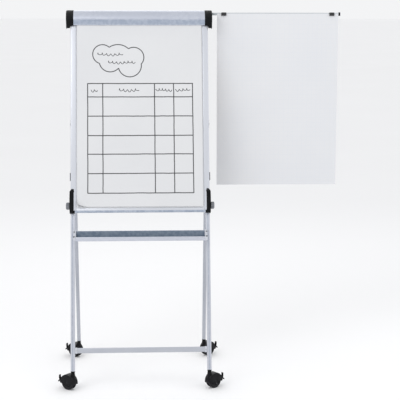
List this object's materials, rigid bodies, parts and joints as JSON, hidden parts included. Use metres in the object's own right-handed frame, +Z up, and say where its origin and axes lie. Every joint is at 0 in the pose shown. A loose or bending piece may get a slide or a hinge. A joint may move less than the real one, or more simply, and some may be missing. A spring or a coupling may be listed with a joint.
{
  "type": "flipchart easel",
  "caption": "Mobile flipchart easel: leaning board on two legs with a folding rear frame, pad clamp, pen tray, side arm with a hung sheet, and braked castors.",
  "frame": {"origin": "on the floor, midway between the four castor stems", "axes": "+X to the right of someone facing the board, +Y away from them, +Z up"},
  "size_m": [1.5075, 0.6736, 1.9236],
  "materials": {
    "arm_aluminium": "satin anodised",
    "black_plastic": "black, fine moulded grain",
    "castor_plastic": "black, slightly worn",
    "castor_tyre": "dark grey tread",
    "core_board": "raw fibre board",
    "frame_aluminium": "satin anodised",
    "grip_rubber": "matt",
    "knob_plastic": "grey moulded",
    "leg_aluminium": "satin anodised",
    "magnet_plastic": "black",
    "painted_steel": "grey powder coat",
    "paper": "plain white paper",
    "steel": "zinc plated",
    "tray_aluminium": "satin anodised",
    "tray_end_plastic": "light grey moulded",
    "white_enamel": "gloss white enamel"
  },
  "bodies": {
    "stand": {"front_leg_left": "leg_aluminium", "front_leg_right": "leg_aluminium", "front_crossbar": "leg_aluminium", "crossbar_fittings": "leg_aluminium", "pen_tray": "tray_aluminium", "tray_end_left": "tray_end_plastic", "tray_end_right": "tray_end_plastic", "tray_screws": "steel", "leg_top_plugs": "black_plastic", "hinge_brackets": "painted_steel", "hinge_pins": "steel", "front_foot_plugs": "black_plastic"},
    "rear_frame": {"rear_leg_left": "leg_aluminium", "rear_leg_right": "leg_aluminium", "rear_crossbar": "leg_aluminium", "rear_knuckles": "painted_steel", "rear_foot_plugs": "black_plastic"},
    "board": {"writing_sheet": "white_enamel", "panel_core": "core_board", "frame_side_left": "frame_aluminium", "frame_side_right": "frame_aluminium", "frame_bottom": "frame_aluminium", "frame_top": "frame_aluminium", "board_bracket_left": "black_plastic", "board_bracket_right": "black_plastic", "leg_glides": "black_plastic", "clamp_rail": "frame_aluminium", "pad_studs": "steel", "paper_pad": "paper", "arm_bracket": "painted_steel"},
    "knob_left": {"knob_left": "knob_plastic"},
    "knob_right": {"knob_right": "knob_plastic"},
    "clamp": {"clamp_profile": "frame_aluminium", "clamp_cap_left": "black_plastic", "clamp_cap_right": "black_plastic", "clamp_grip": "grip_rubber", "clamp_pins": "steel"},
    "arm": {"arm_hub": "black_plastic", "arm_bar": "arm_aluminium", "arm_tip": "black_plastic", "arm_magnets": "magnet_plastic", "hung_sheet": "paper"},
    "castor_front_left": {"castor_housing_front_left": "castor_plastic", "castor_pins_front_left": "steel"},
    "wheels_front_left": {"castor_wheels_front_left": "castor_tyre"},
    "brake_front_left": {"castor_brake_front_left": "castor_plastic"},
    "castor_front_right": {"castor_housing_front_right": "castor_plastic", "castor_pins_front_right": "steel"},
    "wheels_front_right": {"castor_wheels_front_right": "castor_tyre"},
    "brake_front_right": {"castor_brake_front_right": "castor_plastic"},
    "castor_rear_left": {"castor_housing_rear_left": "castor_plastic", "castor_pins_rear_left": "steel"},
    "wheels_rear_left": {"castor_wheels_rear_left": "castor_tyre"},
    "brake_rear_left": {"castor_brake_rear_left": "castor_plastic"},
    "castor_rear_right": {"castor_housing_rear_right": "castor_plastic", "castor_pins_rear_right": "steel"},
    "wheels_rear_right": {"castor_wheels_rear_right": "castor_tyre"},
    "brake_rear_right": {"castor_brake_rear_right": "castor_plastic"}
  },
  "joints": [
    {"name": "rear_frame_fold", "type": "hinge", "parent": "stand", "child": "rear_frame", "pos_m": [0, 0.06814, 1.33129], "axis": [-1, 0, 0], "range_deg": [0, 17]},
    {"name": "board_height", "type": "slide", "parent": "stand", "child": "board", "axis": [0, 0.2588, 0.9659], "range_m": [-0.06, 0.2]},
    {"name": "knob_left_turn", "type": "hinge", "parent": "board", "child": "knob_left", "pos_m": [-0.37, -0.07, 0.92004], "axis": [-1, 0, 0], "range_deg": [0, 360]},
    {"name": "knob_right_turn", "type": "hinge", "parent": "board", "child": "knob_right", "pos_m": [0.37, -0.07, 0.92004], "axis": [1, 0, 0], "range_deg": [0, 360]},
    {"name": "clamp_open", "type": "hinge", "parent": "board", "child": "clamp", "pos_m": [0, 0.18871, 1.90877], "axis": [-1, 0, 0], "range_deg": [0, 65]},
    {"name": "arm_swing", "type": "hinge", "parent": "board", "child": "arm", "pos_m": [0.352, 0.21321, 1.9], "axis": [0, 0, 1], "range_deg": [0, 180]},
    {"name": "castor_front_left_swivel", "type": "hinge", "parent": "stand", "child": "castor_front_left", "pos_m": [-0.35, -0.29, 0.09], "axis": [0, 0, 1], "continuous": true},
    {"name": "wheels_front_left_roll", "type": "hinge", "parent": "castor_front_left", "child": "wheels_front_left", "pos_m": [-0.37206, -0.27276, 0.038], "axis": [-0.6157, -0.788, 0], "continuous": true},
    {"name": "brake_front_left_press", "type": "hinge", "parent": "castor_front_left", "child": "brake_front_left", "pos_m": [-0.40831, -0.24444, 0.035], "axis": [-0.6157, -0.788, 0], "range_deg": [0, 12]},
    {"name": "castor_front_right_swivel", "type": "hinge", "parent": "stand", "child": "castor_front_right", "pos_m": [0.35, -0.29, 0.09], "axis": [0, 0, 1], "continuous": true},
    {"name": "wheels_front_right_roll", "type": "hinge", "parent": "castor_front_right", "child": "wheels_front_right", "pos_m": [0.37206, -0.27276, 0.038], "axis": [-0.6157, 0.788, 0], "continuous": true},
    {"name": "brake_front_right_press", "type": "hinge", "parent": "castor_front_right", "child": "brake_front_right", "pos_m": [0.40831, -0.24444, 0.035], "axis": [-0.6157, 0.788, 0], "range_deg": [0, 12]},
    {"name": "castor_rear_left_swivel", "type": "hinge", "parent": "rear_frame", "child": "castor_rear_left", "pos_m": [-0.35, 0.29, 0.09], "axis": [0, 0, 1], "continuous": true},
    {"name": "wheels_rear_left_roll", "type": "hinge", "parent": "castor_rear_left", "child": "wheels_rear_left", "pos_m": [-0.37206, 0.30724, 0.038], "axis": [-0.6157, -0.788, 0], "continuous": true},
    {"name": "brake_rear_left_press", "type": "hinge", "parent": "castor_rear_left", "child": "brake_rear_left", "pos_m": [-0.40831, 0.33556, 0.035], "axis": [-0.6157, -0.788, 0], "range_deg": [0, 12]},
    {"name": "castor_rear_right_swivel", "type": "hinge", "parent": "rear_frame", "child": "castor_rear_right", "pos_m": [0.35, 0.29, 0.09], "axis": [0, 0, 1], "continuous": true},
    {"name": "wheels_rear_right_roll", "type": "hinge", "parent": "castor_rear_right", "child": "wheels_rear_right", "pos_m": [0.37206, 0.30724, 0.038], "axis": [-0.6157, 0.788, 0], "continuous": true},
    {"name": "brake_rear_right_press", "type": "hinge", "parent": "castor_rear_right", "child": "brake_rear_right", "pos_m": [0.40831, 0.33556, 0.035], "axis": [-0.6157, 0.788, 0], "range_deg": [0, 12]}
  ]
}
